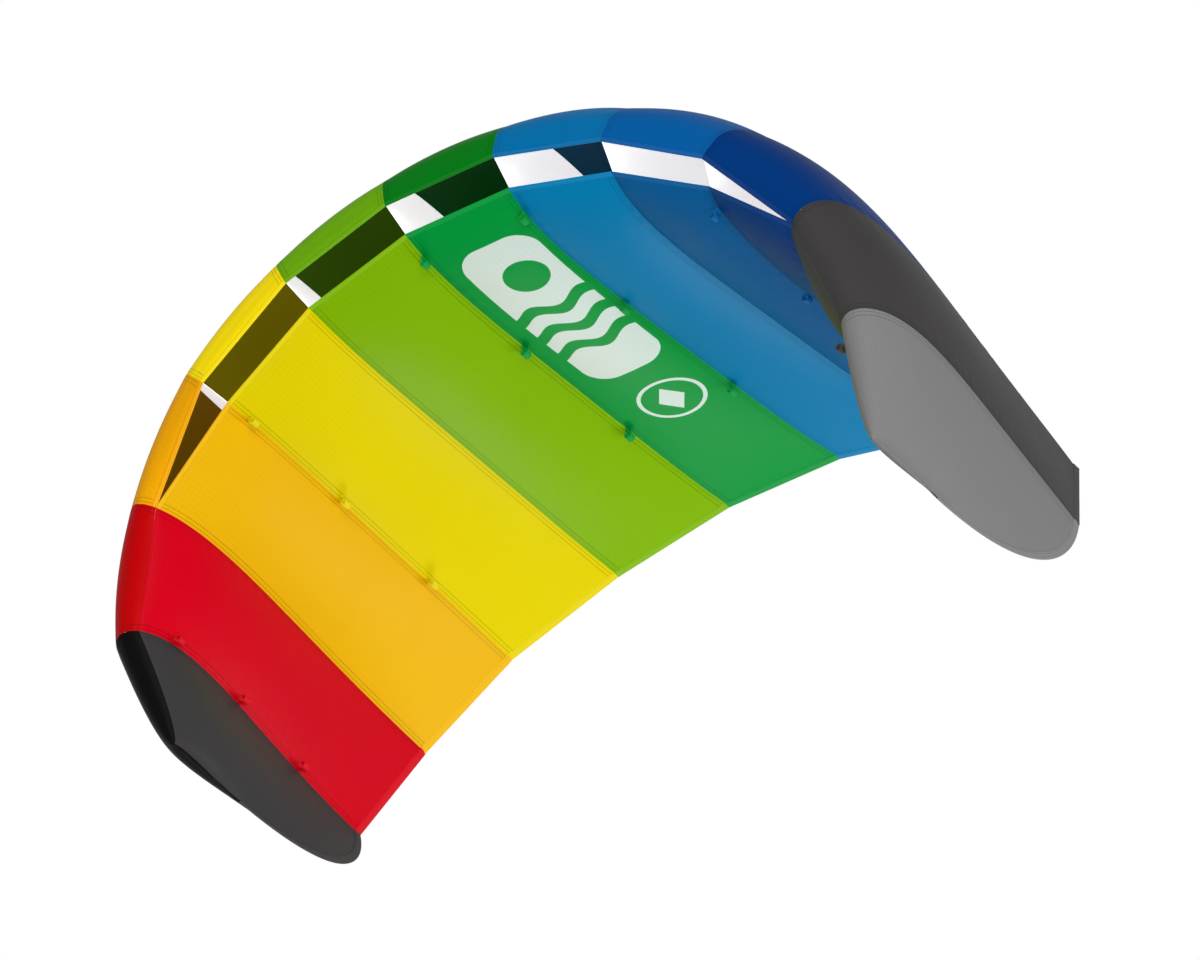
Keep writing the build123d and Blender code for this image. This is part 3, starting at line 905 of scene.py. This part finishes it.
def lip_tape(cell, profile, v):
    """Tape folded over a skin's front edge: it runs along the edge, half a width behind it."""
    near_edge = cell_surface(cell, profile, np.array([0.0, lip_reach[profile]]), v)
    edge, behind = near_edge[0], near_edge[1]
    across = unit(behind - edge)
    along = unit(np.gradient(edge, axis=0))
    up = unit(np.cross(along, across))
    path = edge + across * (binding_width / 2 - binding_overhang)
    return tape_part(path, across, up, binding_width / 2, binding_thickness / 2)


for cell in range(-open_seams, open_seams + 1):
    name = cell_names[cell + last_seam]
    near, far = cell_seams(cell)
    for half, v, seam in (("inner_half", np.linspace(0, 0.5, edge_steps), near),
                          ("outer_half", np.linspace(0.5, 1, edge_steps), far)):
        for lip, profile, finish in (("nose_lip", upper_profile, lip_finish),
                                     ("lower_lip", lower_profile, tape_finish)):
            mesh = tape_mesh(f"{name}_{lip}_{half}", [lip_tape(cell, profile, v)])
            piece = add_piece(f"{name}_{lip}_binding_{half}", mesh, [finish[name]])
            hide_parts(f"{name}_inlet_binding")
            seam_blend(piece, seam)

# ---------------------------------------------------------------------------
# Trailing hems. Upper and lower skin meet at the trailing edge in one folded
# hem, closed with a row of stitches, which follows the curve of each tip.
# ---------------------------------------------------------------------------
hem_length, hem_overlap, hem_thickness = 0.0060, 0.0030, 0.0018
tip_hem_steps, tip_hem_narrowing = 65, 0.85


def hem_tape(tail, up, sign, taper):
    """Tape along a trailing edge, from just ahead of it to the hem's length behind.

    taper is the share of its full width at each point.
    """
    along = unit(np.gradient(tail, axis=0))
    across = unit(np.cross(up, along)) * sign
    half_width = (hem_length + hem_overlap) / 2 * taper
    path = tail + across * ((hem_length - hem_overlap) / 2 * taper)[:, None]
    return tape_part(path, across, np.tile(up, (len(tail), 1)), half_width, hem_thickness / 2)


for index, name in enumerate(cell_names):
    cell = index - last_seam
    up = outward(cell_slope(cell))
    if abs(cell) < last_seam:
        near, far = cell_seams(cell)
        stretches = [("inner_half", np.linspace(0, 0.5, edge_steps), near),
                     ("outer_half", np.linspace(0.5, 1, edge_steps), far)]
        surface, slot = cell_surface, f"{name}_ripstop"
    else:
        stretches = [("curve", np.sin(np.linspace(0, math.pi / 2, tip_hem_steps)), cell)]
        surface, slot = tip_surface, tip_slots[name]
    for half, v, seam in stretches:
        tail = surface(cell, upper_profile, np.array([1.0]), v)[0]
        taper = 1 - tip_hem_narrowing * v**4 if half == "curve" else np.ones(len(v))
        mesh = tape_mesh(f"{name}_hem_{half}", [hem_tape(tail, up, 1 if cell >= 0 else -1, taper)])
        piece = add_piece(f"{name}_trailing_hem_{half}", mesh, [tape_finish[name]])
        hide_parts(f"{name}_trailing_hem")
        seam_blend(piece, seam)

# ---------------------------------------------------------------------------
# Bridle loops. Under every second rib three tapes are folded round an eye and
# sewn to a tab of the rib. The bridle lines would be looped through the eyes.
# ---------------------------------------------------------------------------
loop_ribs, loop_places = (1, 3, 5), (0.10, 0.39, 0.70)
loop_eye_radius, loop_tape_thickness, loop_tape_width = 0.0030, 0.0007, 0.0080
loop_leg_gap, loop_leg_share = 0.0006, 0.9
eye_steps, leg_steps = 37, 7


def loop_tape(seam, place):
    """One tape: down a leg, round the eye on most of a circle, and up the other leg."""
    fullness = lower_open_fullness if is_open(seam) else lower_closed_fullness
    depth = fullness_height(place, fullness) * seam_chord[seam]
    radius = loop_eye_radius + loop_tape_thickness / 2
    neck = math.asin(loop_leg_gap / radius)
    turn = np.linspace(neck, 2 * math.pi - neck, eye_steps)
    rise = np.linspace(1, 0, leg_steps)[:-1] * loop_leg_share * (loop_eye_drop - radius)
    throat = radius * math.cos(neck)
    sideways = np.concatenate([np.full(len(rise), loop_leg_gap), radius * np.sin(turn),
                               np.full(len(rise), -loop_leg_gap)])
    upwards = np.concatenate([throat + rise, radius * np.cos(turn), throat + rise[::-1]])
    origin = seam_point[seam] - outward(seam_tilt[seam]) * (depth + loop_eye_drop)
    origin[1] += place * seam_chord[seam]
    path = origin + np.outer(sideways, spanwise(seam_tilt[seam]))
    path = path + np.outer(upwards, outward(seam_tilt[seam]))
    aft = np.tile(np.array([0.0, 1.0, 0.0]), (len(path), 1))
    away = unit(np.cross(unit(np.gradient(path, axis=0)), aft))
    return tape_part(path, aft, away, loop_tape_width / 2, loop_tape_thickness / 2)


for side, word in ((-1, "left"), (1, "right")):
    for number in loop_ribs:
        seam = side * number
        inner = cell_names[seam - side + last_seam]
        parts = [loop_tape(seam, place) for place in loop_places]
        loops = add_piece(f"bridle_loops_{word}_{number}_tapes", tape_mesh(f"loops_{word}_{number}", parts),
                          [tape_finish[inner]])
        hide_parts(f"bridle_loops_{word}_{number}")
        seam_blend(loops, seam)
